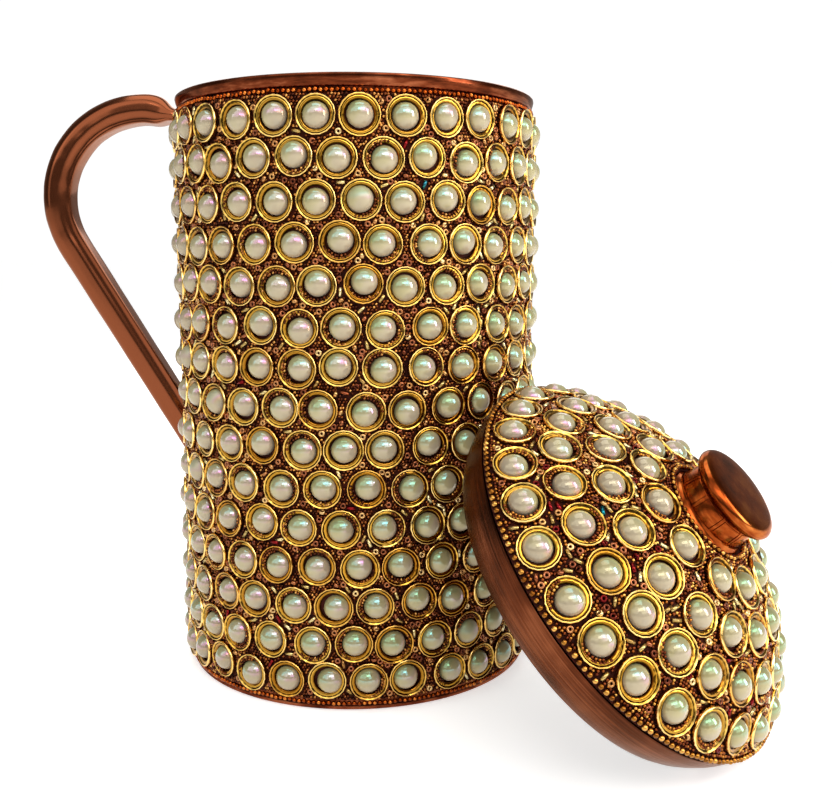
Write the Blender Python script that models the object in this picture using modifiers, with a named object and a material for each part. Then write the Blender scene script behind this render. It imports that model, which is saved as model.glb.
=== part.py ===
"""Copper water jug with a beaded lac coat, and its loose lid leaning on it.

The jug stands on the XY plane, its axis along Z, its handle on the -X side. The lid is modelled upright in
its own frame, open edge at height 0, under an empty that leans it on the jug, its lowest edge on the ground.
"""
import math

import bmesh
import bpy
from mathutils import Matrix, Vector

MM = 0.001
GAP = 0.3 * MM                    # clearance between pieces that touch
ROUND = 48                        # steps of a large turned piece

# the jug
JUG_HEIGHT = 190.0 * MM
LIP_RADIUS = 60.0 * MM
WALL_RADIUS = 57.5 * MM           # outside of the copper wall
WALL_THICKNESS = 1.2 * MM
BASE_RADIUS = 59.0 * MM
BASE_HEIGHT = 1.25 * MM
LAC_RADIUS = 59.2 * MM            # outside of the lac sleeve
LAC_BOTTOM = 3.35 * MM
LAC_TOP = 184.2 * MM
STRAND_RADIUS = 59.0 * MM         # centre line of the ball strands
BALL_RADIUS = 0.75 * MM
UPPER_STRAND_HEIGHT = 185.25 * MM
LOWER_STRAND_HEIGHT = 2.3 * MM

# the pearl settings
ROWS = 15
SETTINGS = 29                     # settings in a row
TOP_ROW_HEIGHT = 178.4 * MM
ROW_PITCH = 12.08 * MM
ROW_TURN = (0.1, 0.6, 0.1, 0.6, 0.1, 0.65, 0.6, 0.15, 0.65, 0.15, 0.6, 0.0, 0.4, 0.8, 0.2)
BAND_HALF_WIDTH = 5.85 * MM
PEARL_RISE = 3.3 * MM             # from the lac to the top of a pearl
VALLEY_RISE = 1.2 * MM            # from the lac to the rings' edges between two pearls

# the handle, in the XZ plane; its distances are outwards from the jug's axis
HANDLE_ARC_OUT = 70.25 * MM
HANDLE_ARC_HEIGHT = 157.2 * MM
HANDLE_ARC_RADIUS = 30.0 * MM
HANDLE_RUN_TILT = math.radians(30.3)
HANDLE_RUN_LENGTH = 91.0 * MM
HANDLE_DEPTH = 5.3 * MM           # half of its size across the run, in the XZ plane
HANDLE_BREADTH = 5.4 * MM         # half of its size along Y
HANDLE_SIDES = 12
TONGUE_HEADING = math.radians(188)
HANDLE_FOOT_HEIGHT = 81.0 * MM    # middle of its passage through the beadwork
HANDLE_FOOT_REACH = 22.0 * MM

# the lid, in its own frame
LID_EDGE_RADIUS = 55.5 * MM
LID_RADIUS = 60.0 * MM
LID_DOME_HEIGHT = 13.0 * MM       # height of the dome's edge
DOME_RADIUS = 78.0 * MM           # outside of the lid's lac
LID_LAC_THICKNESS = 1.5 * MM
LID_LAC_GAP = 0.5 * MM            # between the lac and the copper dome, whose facets differ
LID_COPPER_THICKNESS = 1.0 * MM
LID_RING_SETTINGS = (26, 22, 16, 11)
LID_RING_ANGLE = (44.3, 35.15, 26.0, 16.85)
LID_RING_TURN = (268.0, 268.0, 281.0, 280.0)
KNOB_BASE_RADIUS = 13.1 * MM
KNOB_BOTTOM = 39.55 * MM
KNOB_TOP = 52.0 * MM
KNOB_DISC_RADIUS = 14.1 * MM
KNOB_FLUTES = 10
RIVET_RADIUS = 1.6 * MM
RIVET_HOLE = 1.9 * MM

# where the lid leans
LID_LEAN = math.radians(39.3)     # rise of the lid's axis above the ground
LID_TURN = math.radians(-35.8)
LID_OUT = (71.5 * MM, -67.85 * MM)

DOME_CENTRE = LID_DOME_HEIGHT - math.sqrt(DOME_RADIUS ** 2 - LID_RADIUS ** 2)

COLLECTION = "copper_water_jug"

# each material: colour, roughness, metallic
COPPER = ((0.55, 0.20, 0.10), 0.25, 1.0)
DARK_COPPER = ((0.34, 0.10, 0.04), 0.3, 1.0)
LAC = ((0.11, 0.03, 0.015), 0.5, 0.0)
BALLS = ((0.62, 0.22, 0.06), 0.3, 1.0)
PEARL = ((0.72, 0.68, 0.50), 0.2, 0.0)


def clear_scene():
    for item in list(bpy.data.objects):
        bpy.data.objects.remove(item, do_unlink=True)


def make_collection(name):
    collection = bpy.data.collections.new(name)
    bpy.context.scene.collection.children.link(collection)
    return collection


def make_material(name, color, roughness, metallic):
    material = bpy.data.materials.new(name)
    material.use_nodes = True
    shader = material.node_tree.nodes["Principled BSDF"]
    shader.inputs["Base Color"].default_value = (*color, 1.0)
    shader.inputs["Roughness"].default_value = roughness
    shader.inputs["Metallic"].default_value = metallic
    return material


def add_object(name, mesh, material=None, collection=None):
    """A new object in the part's collection, or in another, with its own material."""
    piece = bpy.data.objects.new(name, mesh)
    (collection or parts).objects.link(piece)
    if material:
        mesh.materials.append(make_material(name, *material))
    return piece


def as_cutter(piece):
    piece.hide_render = True
    piece.display_type = "WIRE"
    return piece


def cut(piece, cutter):
    boolean = piece.modifiers.new("cut", "BOOLEAN")
    boolean.operation = "DIFFERENCE"
    boolean.solver = "EXACT"
    boolean.object = cutter


def turned(name, profile, material=None, closed=True, steps=ROUND, collection=None):
    """A profile of (radius, height) points turned round Z. It runs from top to bottom on its outer side."""
    mesh = bpy.data.meshes.new(name)
    edges = [(i, i + 1) for i in range(len(profile) - 1)]
    if closed:
        edges.append((len(profile) - 1, 0))
    mesh.from_pydata([(radius, 0.0, height) for radius, height in profile], edges, [])
    piece = add_object(name, mesh, material, collection)
    screw = piece.modifiers.new("turn", "SCREW")
    screw.axis = "Z"
    screw.steps = screw.render_steps = steps
    screw.use_merge_vertices = True
    screw.merge_threshold = 0.01 * MM
    screw.use_smooth_shade = True
    return piece


def ring_strand(name, radius, height, material):
    """A strand of small balls as one round ring."""
    sides = 5
    angles = [math.radians(90) - math.tau * i / sides for i in range(sides)]
    profile = [(radius + BALL_RADIUS * math.cos(a), height + BALL_RADIUS * math.sin(a)) for a in angles]
    return turned(name, profile, material, steps=40)


def loft(name, sections, material=None, collection=None):
    """A solid skin over closed sections of the same number of points, in order along it."""
    bm = bmesh.new()
    rings = [[bm.verts.new(point) for point in section] for section in sections]
    sides = len(rings[0])
    for ring, following in zip(rings, rings[1:]):
        for i in range(sides):
            j = (i + 1) % sides
            bm.faces.new((ring[i], ring[j], following[j], following[i]))
    bm.faces.new(rings[0])
    bm.faces.new(rings[-1])
    bmesh.ops.recalc_face_normals(bm, faces=bm.faces)
    mesh = bpy.data.meshes.new(name)
    bm.to_mesh(mesh)
    bm.free()
    mesh.shade_smooth()
    mesh.set_sharp_from_angle(angle=math.radians(40))
    return add_object(name, mesh, material, collection)


def setting_band(name, settings, place, half_width, base, material):
    """One closed ring of half pearls: a raised band whose crest rises to each pearl and dips between two.

    place(angle, along, rise) gives the point at an angle round the band, along its width, above its base.
    """
    columns = 2 * settings
    sections = []
    for column in range(columns):
        angle = math.pi * column / settings
        crest = PEARL_RISE if column % 2 == 0 else VALLEY_RISE
        width = half_width if column % 2 == 0 else 0.75 * half_width
        sections.append([place(angle, -width, base), place(angle, 0.0, crest), place(angle, width, base)])
    bm = bmesh.new()
    rings = [[bm.verts.new(point) for point in section] for section in sections]
    for ring, following in zip(rings, rings[1:] + rings[:1]):
        for i in range(3):
            j = (i + 1) % 3
            bm.faces.new((ring[i], following[i], following[j], ring[j]))
    bmesh.ops.recalc_face_normals(bm, faces=bm.faces)
    mesh = bpy.data.meshes.new(name)
    bm.to_mesh(mesh)
    bm.free()
    return add_object(name, mesh, material)


def make_jug_body():
    inner = WALL_RADIUS - WALL_THICKNESS
    top = JUG_HEIGHT
    wall = [(LIP_RADIUS - 1.3 * MM, top), (LIP_RADIUS - 0.5 * MM, top), (LIP_RADIUS - 0.1 * MM, top - 0.35 * MM),
            (LIP_RADIUS, top - 0.9 * MM), (LIP_RADIUS - 0.7 * MM, top - 3.4 * MM),
            (LIP_RADIUS - 1.1 * MM, top - 3.7 * MM), (WALL_RADIUS, top - 3.7 * MM),
            (WALL_RADIUS, BASE_HEIGHT + GAP), (inner, BASE_HEIGHT + GAP), (inner, top - 5.5 * MM),
            (inner + 0.9 * MM, top - 2.8 * MM), (LIP_RADIUS - 1.6 * MM, top - 0.4 * MM)]
    turned("jug_wall", wall, COPPER)
    pan = [(0.0, BASE_HEIGHT), (BASE_RADIUS - 0.3 * MM, BASE_HEIGHT), (BASE_RADIUS, BASE_HEIGHT - 0.3 * MM),
           (BASE_RADIUS, 0.3 * MM), (BASE_RADIUS - 0.4 * MM, 0.0), (0.0, 0.0)]
    turned("base_pan", pan, DARK_COPPER, closed=False)


def handle_stations():
    """Places along the handle: (distance out, height, heading, half depth, half breadth)."""
    stations = []
    start = -HANDLE_RUN_TILT
    run_out = HANDLE_ARC_OUT + HANDLE_ARC_RADIUS * math.cos(start)
    run_height = HANDLE_ARC_HEIGHT + HANDLE_ARC_RADIUS * math.sin(start)
    heading = start + math.pi / 2
    for step in range(5):
        back = HANDLE_RUN_LENGTH * (1.0 - step / 5)
        stations.append((run_out - back * math.cos(heading), run_height - back * math.sin(heading),
                         heading, HANDLE_DEPTH, HANDLE_BREADTH))
    steps = 14
    for step in range(steps + 1):
        angle = start + (math.pi / 2 - start) * step / steps
        stations.append((HANDLE_ARC_OUT + HANDLE_ARC_RADIUS * math.cos(angle),
                         HANDLE_ARC_HEIGHT + HANDLE_ARC_RADIUS * math.sin(angle),
                         angle + math.pi / 2, HANDLE_DEPTH, HANDLE_BREADTH))
    end = HANDLE_ARC_HEIGHT + HANDLE_ARC_RADIUS
    for out, drop, depth, breadth in ((66.5, 0.2, 4.5, 5.7), (64.0, 0.6, 3.3, 6.2), (61.5, 1.0, 2.4, 6.6),
                                      (57.0, 1.6, 2.0, 6.6)):
        stations.append((out * MM, end - drop * MM, TONGUE_HEADING, depth * MM, breadth * MM))
    return stations


def handle_sections(grow=0.0):
    """Rounded sections, flatter on the side that faces the jug, grown by a clearance for a cutter."""
    sections = []
    for out, height, heading, depth, breadth in handle_stations():
        middle = Vector((-out, 0.0, height))
        outwards = Vector((-math.sin(heading), 0.0, -math.cos(heading)))
        section = []
        for side in range(HANDLE_SIDES):
            angle = math.tau * side / HANDLE_SIDES
            reach = math.cos(angle)
            if reach < 0:
                reach = -abs(reach) ** 0.6
            section.append(middle + outwards * (reach * (depth + grow))
                           + Vector((0.0, math.sin(angle) * (breadth + grow), 0.0)))
        sections.append(section)
    return sections


def make_handle():
    """The handle, cut to the round of the wall at its foot and of the lip at its tongue."""
    handle = loft("handle", handle_sections(), COPPER)
    shoulder = LAC_TOP - GAP
    core = [(0.0, JUG_HEIGHT + 10 * MM), (LIP_RADIUS + GAP, JUG_HEIGHT + 10 * MM), (LIP_RADIUS + GAP, shoulder),
            (WALL_RADIUS + GAP, shoulder), (WALL_RADIUS + GAP, 30 * MM), (0.0, 30 * MM)]
    cut(handle, as_cutter(turned("handle_core", core, closed=False, collection=cutters)))


def make_beadwork(socket):
    sleeve = [(LAC_RADIUS, LAC_TOP), (LAC_RADIUS, LAC_BOTTOM), (WALL_RADIUS + GAP, LAC_BOTTOM),
              (WALL_RADIUS + GAP, LAC_TOP)]
    cut(turned("lac_sleeve", sleeve, LAC), socket)
    ring_strand("upper_ball_strand", STRAND_RADIUS, UPPER_STRAND_HEIGHT, BALLS)
    ring_strand("lower_ball_strand", STRAND_RADIUS, LOWER_STRAND_HEIGHT, BALLS)
    for row in range(ROWS):
        height = TOP_ROW_HEIGHT - row * ROW_PITCH
        turn = math.tau * ROW_TURN[row] / SETTINGS - math.pi / 2

        def place(angle, along, rise):
            radius = LAC_RADIUS + rise
            return radius * math.cos(angle + turn), radius * math.sin(angle + turn), height + along

        band = setting_band(f"pearl_row_{row + 1:02d}", SETTINGS, place, BAND_HALF_WIDTH, GAP, PEARL)
        if abs(height - HANDLE_FOOT_HEIGHT) < HANDLE_FOOT_REACH:
            cut(band, socket)


def dome_point(radius, reach):
    """A (radius, height) point on the lid's dome, reach outside the dome's centre."""
    return radius, DOME_CENTRE + math.sqrt(reach ** 2 - radius ** 2)


def dome_arc(reach, first, last, steps):
    return [dome_point(first + (last - first) * i / steps, reach) for i in range(steps + 1)]


def lean(piece):
    piece.parent = lid_frame
    return piece


def make_lid_copper():
    """The domed sheet, with a hole for the rivet, set in the rim of the tapered skirt."""
    reach = DOME_RADIUS - LID_LAC_THICKNESS - LID_LAC_GAP
    dome_edge = LID_RADIUS - 2.1 * MM
    outer = dome_arc(reach, RIVET_HOLE, dome_edge, 6)
    inner = dome_arc(reach - LID_COPPER_THICKNESS, dome_edge - 0.8 * MM, RIVET_HOLE, 6)
    lean(turned("lid_dome", outer + inner, COPPER))
    flange = LID_DOME_HEIGHT - 0.6 * MM
    seat = dome_edge + GAP
    skirt = [(seat, flange), (LID_RADIUS - 0.1 * MM, flange), (LID_RADIUS - 0.1 * MM, flange - 0.6 * MM),
             (LID_RADIUS - 0.6 * MM, 8.6 * MM), (LID_RADIUS - 1.7 * MM, 5.2 * MM),
             (LID_RADIUS - 3.1 * MM, 2.1 * MM), (LID_EDGE_RADIUS + 0.1 * MM, 0.25 * MM),
             (LID_EDGE_RADIUS - 0.1 * MM, 0.0), (LID_EDGE_RADIUS - 0.9 * MM, 0.0),
             (LID_RADIUS - 4.2 * MM, 2.5 * MM), (LID_RADIUS - 2.8 * MM, 5.5 * MM),
             (seat, 8.8 * MM)]
    lean(turned("lid_skirt", skirt, COPPER))


def make_lid_beadwork():
    hole = KNOB_BASE_RADIUS + GAP
    edge = DOME_RADIUS - LID_LAC_THICKNESS
    lac = dome_arc(DOME_RADIUS, hole, LID_RADIUS, 6) + dome_arc(edge, LID_RADIUS - 1.9 * MM, hole, 6)
    lean(turned("lid_lac_layer", lac, LAC))
    strand_reach = DOME_RADIUS + GAP + BALL_RADIUS
    for name, angle in (("lid_edge_strand", 49.5), ("lid_knob_strand", 10.6)):
        radius = strand_reach * math.sin(math.radians(angle))
        lean(ring_strand(name, *dome_point(radius, strand_reach), BALLS))
    for ring, (settings, angle, turn) in enumerate(zip(LID_RING_SETTINGS, LID_RING_ANGLE, LID_RING_TURN)):

        def place(around, along, rise):
            polar = math.radians(angle) + along / DOME_RADIUS
            reach = DOME_RADIUS + rise
            out = reach * math.sin(polar)
            heading = around + math.radians(turn)
            return out * math.cos(heading), out * math.sin(heading), DOME_CENTRE + reach * math.cos(polar)

        lean(setting_band(f"lid_pearl_ring_{ring + 1}", settings, place, BAND_HALF_WIDTH,
                          GAP + 0.2 * MM, PEARL))


def make_knob():
    """The fluted spool, its bore for the rivet, and the rivet and washer that hold it on the dome."""
    bore_top = KNOB_TOP - 6.4 * MM
    disc = KNOB_DISC_RADIUS
    profile = [(0.0, KNOB_TOP), (disc - 1.5 * MM, KNOB_TOP), (disc - 0.6 * MM, KNOB_TOP - 0.4 * MM),
               (disc, KNOB_TOP - 1.4 * MM), (disc - 0.1 * MM, KNOB_TOP - 2.8 * MM),
               (disc - 0.9 * MM, KNOB_TOP - 3.8 * MM), (disc - 2.5 * MM, KNOB_TOP - 4.4 * MM),
               (disc - 3.1 * MM, KNOB_TOP - 5.4 * MM), (disc - 3.2 * MM, KNOB_TOP - 8.5 * MM),
               (disc - 2.8 * MM, KNOB_TOP - 10.4 * MM), (disc - 1.7 * MM, KNOB_BOTTOM + 0.9 * MM),
               (KNOB_BASE_RADIUS, KNOB_BOTTOM + 0.45 * MM), (KNOB_BASE_RADIUS, KNOB_BOTTOM),
               (RIVET_HOLE, KNOB_BOTTOM), (RIVET_HOLE, bore_top), (0.0, bore_top)]
    knob = lean(turned("knob", profile, DARK_COPPER, closed=False, steps=30))
    bm = bmesh.new()
    for flute in range(KNOB_FLUTES):
        turn = math.tau * flute / KNOB_FLUTES
        groove = bmesh.ops.create_cube(bm, size=1.0)["verts"]
        bmesh.ops.scale(bm, verts=groove, vec=(1.6 * MM, 0.7 * MM, 4.0 * MM))
        bmesh.ops.translate(bm, verts=groove, vec=(disc - 2.9 * MM, 0.0, KNOB_TOP - 7.8 * MM))
        bmesh.ops.rotate(bm, verts=groove, cent=(0, 0, 0), matrix=Matrix.Rotation(turn, 3, "Z"))
    mesh = bpy.data.meshes.new("knob_flutes")
    bm.to_mesh(mesh)
    bm.free()
    cut(knob, as_cutter(lean(add_object("knob_flutes", mesh, collection=cutters))))
    head_top = 36.6 * MM
    stem_top = bore_top - GAP
    rivet = [(0.0, stem_top), (RIVET_RADIUS, stem_top), (RIVET_RADIUS, head_top), (3.5 * MM, head_top),
             (3.1 * MM, head_top - 0.8 * MM), (1.6 * MM, head_top - 1.3 * MM), (0.0, head_top - 1.5 * MM)]
    lean(turned("knob_rivet", rivet, COPPER, closed=False, steps=24))
    washer = [(RIVET_HOLE, head_top + 1.1 * MM), (6.0 * MM, head_top + 1.1 * MM), (6.0 * MM, head_top + GAP),
              (RIVET_HOLE, head_top + GAP)]
    lean(turned("knob_washer", washer, DARK_COPPER, steps=24))


clear_scene()
parts = make_collection(COLLECTION)
cutters = make_collection("cutters")
lid_frame = bpy.data.objects.new("lid_frame", None)
lid_frame.location = (*LID_OUT, LID_EDGE_RADIUS * math.cos(LID_LEAN))
lid_frame.rotation_euler = (0.0, math.pi / 2 - LID_LEAN, LID_TURN)
parts.objects.link(lid_frame)

handle_socket = as_cutter(loft("handle_socket", handle_sections(GAP), collection=cutters))
make_jug_body()
make_handle()
make_beadwork(handle_socket)
make_lid_copper()
make_lid_beadwork()
make_knob()
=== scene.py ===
import math
import random

import bpy
import numpy as np
from mathutils import Euler, Matrix, Vector
from mathutils.kdtree import KDTree


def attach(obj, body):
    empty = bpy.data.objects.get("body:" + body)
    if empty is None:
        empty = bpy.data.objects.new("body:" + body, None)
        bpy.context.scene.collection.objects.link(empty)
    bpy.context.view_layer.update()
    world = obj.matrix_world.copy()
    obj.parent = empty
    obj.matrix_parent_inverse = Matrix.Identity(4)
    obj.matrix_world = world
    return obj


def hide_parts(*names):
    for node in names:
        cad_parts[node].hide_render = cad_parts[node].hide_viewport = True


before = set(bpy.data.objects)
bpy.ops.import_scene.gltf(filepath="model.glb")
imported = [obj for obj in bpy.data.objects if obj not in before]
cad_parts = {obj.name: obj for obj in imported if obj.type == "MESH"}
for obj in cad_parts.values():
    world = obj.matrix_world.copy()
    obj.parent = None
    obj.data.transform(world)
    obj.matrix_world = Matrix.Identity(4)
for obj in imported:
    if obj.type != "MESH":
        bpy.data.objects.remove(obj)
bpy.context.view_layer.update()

mm = 0.001
fullTurn = math.tau
dice = random.Random(29)                      # one seeded source for every hand-set irregularity


def toLinear(hexColour):
    channels = [int(hexColour[i:i + 2], 16) / 255 for i in (1, 3, 5)]
    return tuple(c / 12.92 if c <= 0.04045 else ((c + 0.055) / 1.055) ** 2.4 for c in channels) + (1.0,)


def addNode(tree, kind, inputs=None, **settings):
    node = tree.nodes.new("ShaderNode" + kind)
    for name, value in settings.items():
        setattr(node, name, value)
    for name, value in (inputs or {}).items():
        if isinstance(value, bpy.types.NodeSocket):
            tree.links.new(value, node.inputs[name])
        else:
            node.inputs[name].default_value = value
    return node


def setStops(ramp, stops):
    elements = ramp.color_ramp.elements
    while len(elements) < len(stops):
        elements.new(0.5)
    for element, (place, colour) in zip(elements, stops):
        element.position = place
        element.color = toLinear(colour) if isinstance(colour, str) else (colour, colour, colour, 1.0)
    return ramp.outputs["Color"]


def newMaterial(name, **values):
    material = bpy.data.materials.new(name)
    material.use_nodes = True
    shader = material.node_tree.nodes["Principled BSDF"]
    for socket, value in values.items():
        shader.inputs[socket.replace("_", " ")].default_value = value
    return material, material.node_tree, shader


def placeFrom(tree):
    return addNode(tree, "Attribute", attribute_name="madePlace").outputs["Vector"]


def toneFrom(tree):
    return addNode(tree, "Attribute", attribute_name="tone").outputs["Fac"]


def randomTones(spots):
    return [dice.random() for spot in spots]


def deselectAll():
    if bpy.context.object and bpy.context.object.mode != "OBJECT":
        bpy.ops.object.mode_set(mode="OBJECT")
    bpy.ops.object.select_all(action="DESELECT")


def pickFaces(piece, wanted):
    # selects the faces whose middle and normal pass the test, and leaves the piece in edit mode
    bpy.ops.object.mode_set(mode="EDIT")
    bpy.ops.mesh.select_mode(type="FACE")
    bpy.ops.mesh.select_all(action="DESELECT")
    bpy.ops.object.mode_set(mode="OBJECT")
    for face in piece.data.polygons:
        face.select = wanted(face.center, face.normal)
    bpy.ops.object.mode_set(mode="EDIT")


def pickPoints(piece, wanted):
    bpy.ops.object.mode_set(mode="EDIT")
    bpy.ops.mesh.select_mode(type="VERT")
    bpy.ops.mesh.select_all(action="DESELECT")
    bpy.ops.object.mode_set(mode="OBJECT")
    for vertex in piece.data.vertices:
        vertex.select = wanted(vertex.co)
    bpy.ops.object.mode_set(mode="EDIT")


def turnOnLathe(name, profile, sides=96, closed=False, creaseAngle=32):
    # one loop of points is pulled along the profile, (radius, height) in mm, and scaled at each step
    whole = profile + profile[:1] if closed else profile
    points = [(max(radius, 0.004), height) for radius, height in whole]
    deselectAll()
    radius, height = points[0]
    bpy.ops.mesh.primitive_circle_add(vertices=sides, radius=radius * mm, location=(0, 0, height * mm))
    piece = bpy.context.object
    piece.name = piece.data.name = name
    bpy.ops.object.transform_apply(location=True, rotation=True, scale=True)
    bpy.ops.object.mode_set(mode="EDIT")
    bpy.ops.mesh.select_mode(type="VERT")
    bpy.ops.mesh.select_all(action="SELECT")
    for nextRadius, nextHeight in points[1:]:
        bpy.ops.mesh.extrude_region_move(TRANSFORM_OT_translate={"value": (0, 0, (nextHeight - height) * mm)})
        grow = nextRadius / radius
        bpy.ops.transform.resize(value=(grow, grow, 1), center_override=(0, 0, nextHeight * mm))
        radius, height = nextRadius, nextHeight
    bpy.ops.mesh.select_all(action="SELECT")
    bpy.ops.mesh.remove_doubles(threshold=0.02 * mm)
    bpy.ops.mesh.normals_make_consistent(inside=False)
    bpy.ops.object.mode_set(mode="OBJECT")
    bpy.ops.object.shade_smooth_by_angle(angle=math.radians(creaseAngle))
    return piece


def keepMadePlace(piece):
    # the place each point had on the bench, before the piece is bent or leaned, for patterns to follow
    points = np.empty(len(piece.data.vertices) * 3)
    piece.data.vertices.foreach_get("co", points)
    layer = piece.data.attributes.new("madePlace", "FLOAT_VECTOR", "POINT")
    layer.data.foreach_set("vector", points)
    return piece


def copyTo(name, template, spots, tones):
    # every copy of the template gets its own points, its own tone, and keeps its made place
    source = template.data
    count = len(source.vertices)
    points = np.empty(count * 3)
    source.vertices.foreach_get("co", points)
    points = points.reshape(-1, 3)
    placed = np.concatenate([points @ np.array(spot.to_3x3()).T + np.array(spot.translation)
                             for spot in spots])
    faces = [tuple(face.vertices) for face in source.polygons]
    allFaces = [tuple(v + step for v in face)
                for step in range(0, count * len(spots), count) for face in faces]
    mesh = bpy.data.meshes.new(name)
    mesh.from_pydata(placed.tolist(), [], allFaces)
    mesh.polygons.foreach_set("use_smooth", [True] * len(allFaces))
    mesh.attributes.new("madePlace", "FLOAT_VECTOR", "POINT").data.foreach_set(
        "vector", np.tile(points, (len(spots), 1)).ravel())
    mesh.attributes.new("tone", "FLOAT", "POINT").data.foreach_set("value", np.repeat(tones, count))
    piece = bpy.data.objects.new(name, mesh)
    bpy.context.scene.collection.objects.link(piece)
    return piece


def finishPiece(piece, material, body, replaced=(), leaned=False):
    if leaned:
        piece.data.transform(lidMatrix)
        piece.data.update()
    piece.data.materials.clear()
    piece.data.materials.append(material)
    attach(piece, body)
    if replaced:
        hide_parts(*replaced)
    return piece


# the camera stands close, a little above the middle of the jug
view = {"place": (0, -0.3514, 0.1389), "pitchDown": 8.24, "turn": 3.34, "lens": 43.27}
cameraData = bpy.data.cameras.new("camera")
cameraData.lens = view["lens"]
cameraData.sensor_width = 36
cameraData.clip_start = 0.01
camera = bpy.data.objects.new("camera", cameraData)
camera.location = view["place"]
camera.rotation_euler = (math.radians(90 - view["pitchDown"]), 0, -math.radians(view["turn"]))
bpy.context.scene.collection.objects.link(camera)
bpy.context.scene.camera = camera
bpy.context.scene.view_settings.view_transform = "Standard"

# the lid is made upright round Z, then leaned with its lower edge on the ground
lid = {"lean": 39.3, "turn": -35.8, "out": (71.5, -67.85), "edgeRadius": 55.5, "edge": 60, "domeHeight": 13,
       "domeRadius": 78}
domeCentre = lid["domeHeight"] - math.sqrt(lid["domeRadius"] ** 2 - lid["edge"] ** 2)
lidMatrix = (Matrix.Translation((lid["out"][0] * mm, lid["out"][1] * mm,
                                 lid["edgeRadius"] * math.cos(math.radians(lid["lean"])) * mm))
             @ Euler((0, math.radians(90 - lid["lean"]), math.radians(lid["turn"]))).to_matrix().to_4x4())


def copperMaterial(name, dark, middle, light, roughness, streak, lines=0):
    # copper sheet, spun or drawn and then buffed: warm pink metal, with brown tarnish in 18 mm patches,
    # fine drawn streaks along the work, and a sheen that wanders between bright and satin
    material, tree, shader = newMaterial(name, Metallic=1.0, Specular_Tint=(0.88, 0.72, 0.64, 1))
    place = placeFrom(tree)
    patches = addNode(tree, "TexNoise", {"Vector": place, "Scale": 55, "Detail": 3, "Roughness": 0.6})
    stretched = addNode(tree, "Mapping", {"Vector": place, "Scale": streak})
    streaks = addNode(tree, "TexNoise", {"Vector": stretched.outputs[0], "Scale": 1, "Detail": 4,
                                         "Roughness": 0.65})
    mixed = addNode(tree, "Math", {0: patches.outputs[0], 1: streaks.outputs[0]}, operation="ADD")
    half = addNode(tree, "Math", {0: mixed.outputs[0], 1: 0.5}, operation="MULTIPLY")
    ramp = addNode(tree, "ValToRGB", {"Fac": half.outputs[0]})
    tree.links.new(setStops(ramp, [(0.38, dark), (0.5, middle), (0.63, light)]), shader.inputs["Base Color"])
    sheen = addNode(tree, "ValToRGB", {"Fac": half.outputs[0]})
    tree.links.new(setStops(sheen, [(0.35, roughness[1]), (0.65, roughness[0])]), shader.inputs["Roughness"])
    bump = addNode(tree, "Bump", {"Height": streaks.outputs[0], "Strength": 0.05, "Distance": 0.1 * mm})
    if lines:
        # turning lines round the work, wider than a real lathe's, so that they show
        height = addNode(tree, "SeparateXYZ", {"Vector": place}).outputs["Z"]
        fine = addNode(tree, "TexNoise", {"W": height, "Scale": lines, "Detail": 4, "Roughness": 0.8},
                       noise_dimensions="1D")
        bump = addNode(tree, "Bump", {"Height": fine.outputs[0], "Strength": 0.35, "Distance": 0.25 * mm,
                                      "Normal": bump.outputs[0]})
    tree.links.new(bump.outputs[0], shader.inputs["Normal"])
    return material


def beadMaterial(name, stops, roughness, metallic):
    # one tone per bead picks its colour from the ramp
    material, tree, shader = newMaterial(name, Metallic=metallic, Roughness=roughness)
    tone = toneFrom(tree)
    ramp = addNode(tree, "ValToRGB", {"Fac": tone})
    tree.links.new(setStops(ramp, stops), shader.inputs["Base Color"])
    return material


print("materials")
# the tube is buffed bright, and the wall with its lip is a darker brown
handleCopper = copperMaterial("buffed copper tube", "#3e1d0f", "#7a4229", "#b07a56", (0.11, 0.22),
                              (25, 420, 420))
wallCopper = copperMaterial("spun copper sheet", "#38160a", "#662e18", "#9a5838", (0.12, 0.26),
                            (120, 120, 900))
# the lid's skirt keeps the marks of the lathe
skirtCopper = copperMaterial("lathe turned copper", "#36190d", "#582b17", "#784329", (0.18, 0.28),
                             (30, 30, 1400), 1100)
# scoured bright inside: paler and duller than the polished outside, with fine marks round the wall
insideCopper = copperMaterial("scoured copper inside", "#b4684a", "#d89470", "#ecb494", (0.28, 0.42),
                              (60, 60, 900))
# browned and satin
panCopper = copperMaterial("tarnished copper sheet", "#4a1c0e", "#7c3a22", "#a4603e", (0.32, 0.5),
                           (150, 150, 400))
# the knob is the most orange of the coppers, and bright
knobCopper = copperMaterial("pressed copper knob", "#4e1a08", "#8a3c14", "#b86a30", (0.12, 0.24),
                            (120, 120, 500))

# lac is a dark red-brown resin, pressed on warm: dull, slightly uneven, and darker in the low places of its
# lumps
lacMaterial, tree, shader = newMaterial("pressed lac resin", Roughness=0.7, Specular_IOR_Level=0.1)
place = placeFrom(tree)
lumps = addNode(tree, "TexNoise", {"Vector": place, "Scale": 700, "Detail": 3})   # 1.4 mm
ramp = addNode(tree, "ValToRGB", {"Fac": lumps.outputs[0]})
tree.links.new(setStops(ramp, [(0.3, "#220804"), (0.7, "#44170a")]), shader.inputs["Base Color"])
bump = addNode(tree, "Bump", {"Height": lumps.outputs[0], "Strength": 0.5, "Distance": 0.4 * mm})
tree.links.new(bump.outputs[0], shader.inputs["Normal"])
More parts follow.
